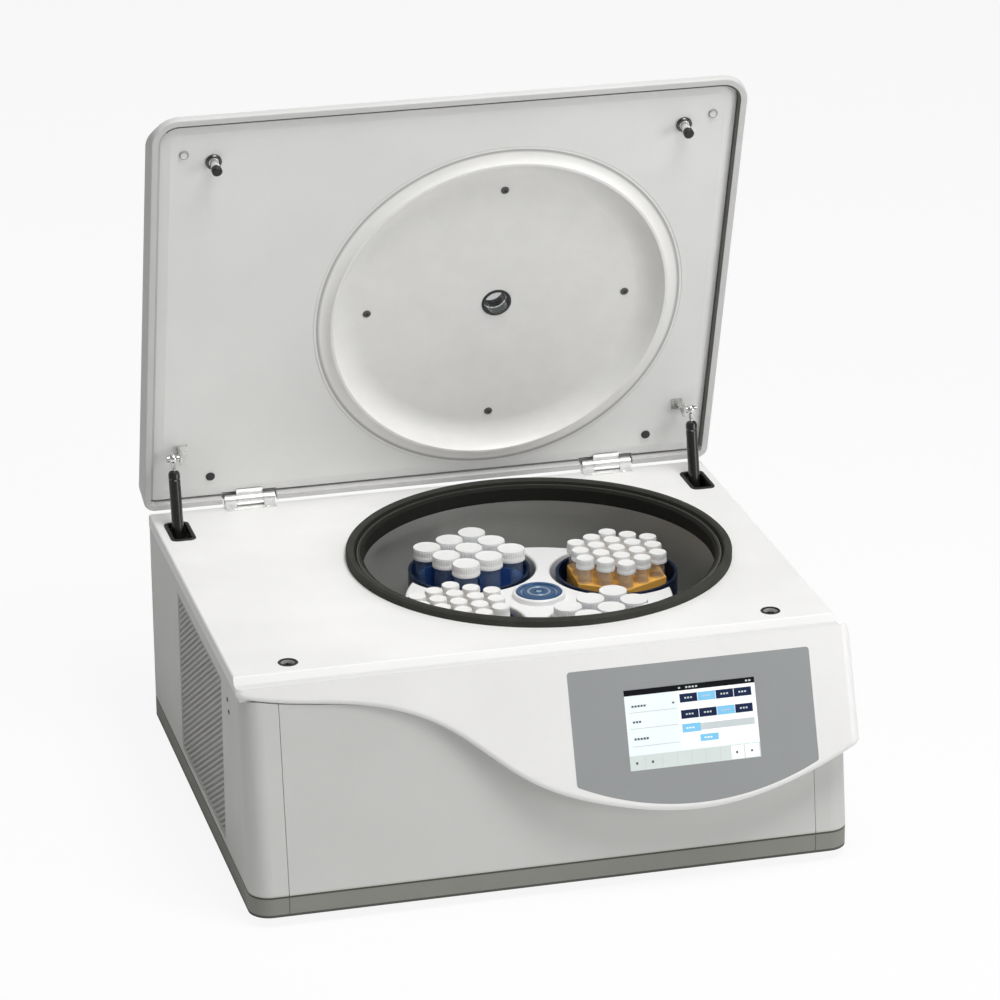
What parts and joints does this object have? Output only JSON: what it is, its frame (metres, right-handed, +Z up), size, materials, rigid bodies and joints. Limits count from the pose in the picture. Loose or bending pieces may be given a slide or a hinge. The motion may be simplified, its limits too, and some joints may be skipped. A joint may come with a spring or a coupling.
{
  "type": "refrigerated benchtop centrifuge",
  "caption": "Benchtop centrifuge with an open hinged lid, a swing-bucket rotor holding capped tubes, and a sloping touchscreen front.",
  "frame": {"origin": "centre of the footprint of the whole instrument with its lid open, on the bench under its feet", "axes": "+X to the user's right across the instrument, +Y to its back, +Z up"},
  "size_m": [0.707, 0.6523, 0.8057],
  "materials": {
    "shell_white": "satin",
    "panel_grey": "satin",
    "skirt_grey": "matt",
    "housing_white": "satin",
    "fascia_grey": "satin",
    "screen_glass": "gloss",
    "inner_black": "matt",
    "bowl_steel": "satin",
    "foam": "matt",
    "armour_steel": "satin",
    "seal_rubber": "matt",
    "motor_black": "satin",
    "compressor_black": "gloss",
    "fin_aluminium": "satin",
    "grille_dark": "matt",
    "lock_steel": "satin",
    "pin_steel": "gloss",
    "lid_white": "satin",
    "liner_grey": "satin",
    "window_glass": "gloss",
    "ring_dark": "satin",
    "strut_black": "satin",
    "rod_chrome": "gloss",
    "rotor_navy": "satin",
    "bucket_navy": "satin",
    "adapter_orange": "satin",
    "adapter_navy": "satin",
    "tube_clear": "gloss",
    "switch_black": "gloss"
  },
  "bodies": {
    "casing": {"base_tray": "armour_steel", "feet": "seal_rubber", "skirt": "skirt_grey", "front_panel": "panel_grey", "side_panel_left": "panel_grey", "side_panel_right": "panel_grey", "rear_panel": "panel_grey", "side_grille": "grille_dark", "rear_grille": "grille_dark", "top_deck": "shell_white", "control_housing": "housing_white", "fascia_panel": "fascia_grey", "touchscreen": "screen_glass", "chamber_bowl": "bowl_steel", "chamber_insulation": "foam", "armour_ring": "armour_steel", "chamber_seal": "seal_rubber", "motor_housing": "motor_black", "motor_mounts": "seal_rubber", "compressor": "compressor_black", "condenser": "fin_aluminium", "fan_shroud": "inner_black", "lid_locks": "lock_steel", "strut_grommets": "seal_rubber", "hinge_brackets": "shell_white", "hinge_pins": "pin_steel", "strut_anchors": "lock_steel", "mains_inlet": "switch_black"},
    "lid": {"lid_shell": "lid_white", "lid_liner": "liner_grey", "lid_dish": "liner_grey", "lid_core": "foam", "lid_window": "window_glass", "window_ring": "ring_dark", "latch_bolts": "pin_steel", "lid_bumpers": "seal_rubber", "dish_screws": "pin_steel", "lid_knuckles": "shell_white", "strut_brackets": "lock_steel"},
    "strut_cylinder_left": {"strut_tube_left": "strut_black"},
    "strut_cylinder_right": {"strut_tube_right": "strut_black"},
    "strut_piston_left": {"strut_rod_left": "rod_chrome"},
    "strut_piston_right": {"strut_rod_right": "rod_chrome"},
    "rotor": {"drive_shaft": "lock_steel", "rotor_cross": "rotor_navy"},
    "knob": {"rotor_knob": "rotor_navy"},
    "cooling_fan": {"fan_rotor": "inner_black"},
    "power_rocker": {"mains_switch": "switch_black"},
    "bucket_set_rear_left": {"bucket_rear_left": "bucket_navy", "adapter_rear_left": "adapter_navy", "tubes_rear_left": "tube_clear"},
    "bucket_set_front_left": {"bucket_front_left": "bucket_navy", "adapter_front_left": "adapter_orange", "tubes_front_left": "tube_clear"},
    "bucket_set_front_right": {"bucket_front_right": "bucket_navy", "adapter_front_right": "adapter_navy", "tubes_front_right": "tube_clear"},
    "bucket_set_rear_right": {"bucket_rear_right": "bucket_navy", "adapter_rear_right": "adapter_orange", "tubes_rear_right": "tube_clear"}
  },
  "joints": [
    {"name": "lid_hinge", "type": "hinge", "parent": "casing", "child": "lid", "pos_m": [0, 0.28585, 0.28], "axis": [1, 0, 0], "range_deg": [0, 74]},
    {"name": "strut_pivot_left", "type": "hinge", "parent": "lid", "child": "strut_cylinder_left", "pos_m": [-0.3213, 0.25089, 0.35403], "axis": [1, 0, 0], "range_deg": [-65, 0]},
    {"name": "strut_stroke_left", "type": "slide", "parent": "strut_cylinder_left", "child": "strut_piston_left", "axis": [0, -0.2141, -0.9768], "range_m": [-0.09381, 0]},
    {"name": "strut_pivot_right", "type": "hinge", "parent": "lid", "child": "strut_cylinder_right", "pos_m": [0.3213, 0.25089, 0.35403], "axis": [1, 0, 0], "range_deg": [-65, 0]},
    {"name": "strut_stroke_right", "type": "slide", "parent": "strut_cylinder_right", "child": "strut_piston_right", "axis": [0, -0.2141, -0.9768], "range_m": [-0.09381, 0]},
    {"name": "rotor_spin", "type": "hinge", "parent": "casing", "child": "rotor", "pos_m": [0.0724, 0.04185, 0.202], "axis": [0, 0, 1], "continuous": true},
    {"name": "bucket_swing_rear_left", "type": "hinge", "parent": "rotor", "child": "bucket_set_rear_left", "pos_m": [0.01565, 0.15323, 0.202], "axis": [0.891, 0.454, 0], "range_deg": [0, 90]},
    {"name": "bucket_swing_front_left", "type": "hinge", "parent": "rotor", "child": "bucket_set_front_left", "pos_m": [-0.03898, -0.0149, 0.202], "axis": [-0.454, 0.891, 0], "range_deg": [0, 90]},
    {"name": "bucket_swing_front_right", "type": "hinge", "parent": "rotor", "child": "bucket_set_front_right", "pos_m": [0.12915, -0.06953, 0.202], "axis": [-0.891, -0.454, 0], "range_deg": [0, 90]},
    {"name": "bucket_swing_rear_right", "type": "hinge", "parent": "rotor", "child": "bucket_set_rear_right", "pos_m": [0.18378, 0.0986, 0.202], "axis": [0.454, -0.891, 0], "range_deg": [0, 90]},
    {"name": "knob_turn", "type": "hinge", "parent": "rotor", "child": "knob", "pos_m": [0.0724, 0.04185, 0.217], "axis": [0, 0, 1], "range_deg": [0, 90]},
    {"name": "fan_spin", "type": "hinge", "parent": "casing", "child": "cooling_fan", "pos_m": [-0.301, -0.02465, 0.109], "axis": [1, 0, 0], "continuous": true},
    {"name": "power_rocker_tilt", "type": "hinge", "parent": "casing", "child": "power_rocker", "pos_m": [0.231, 0.28285, 0.074], "axis": [1, 0, 0], "range_deg": [0, 16]}
  ],
  "couplings": [
    {"joint": "strut_pivot_left", "follows": "lid_hinge", "ratio": -0.86895},
    {"joint": "strut_stroke_left", "follows": "lid_hinge", "m_per_rad": -0.071858},
    {"joint": "strut_pivot_right", "follows": "lid_hinge", "ratio": -0.86895},
    {"joint": "strut_stroke_right", "follows": "lid_hinge", "m_per_rad": -0.071858}
  ]
}
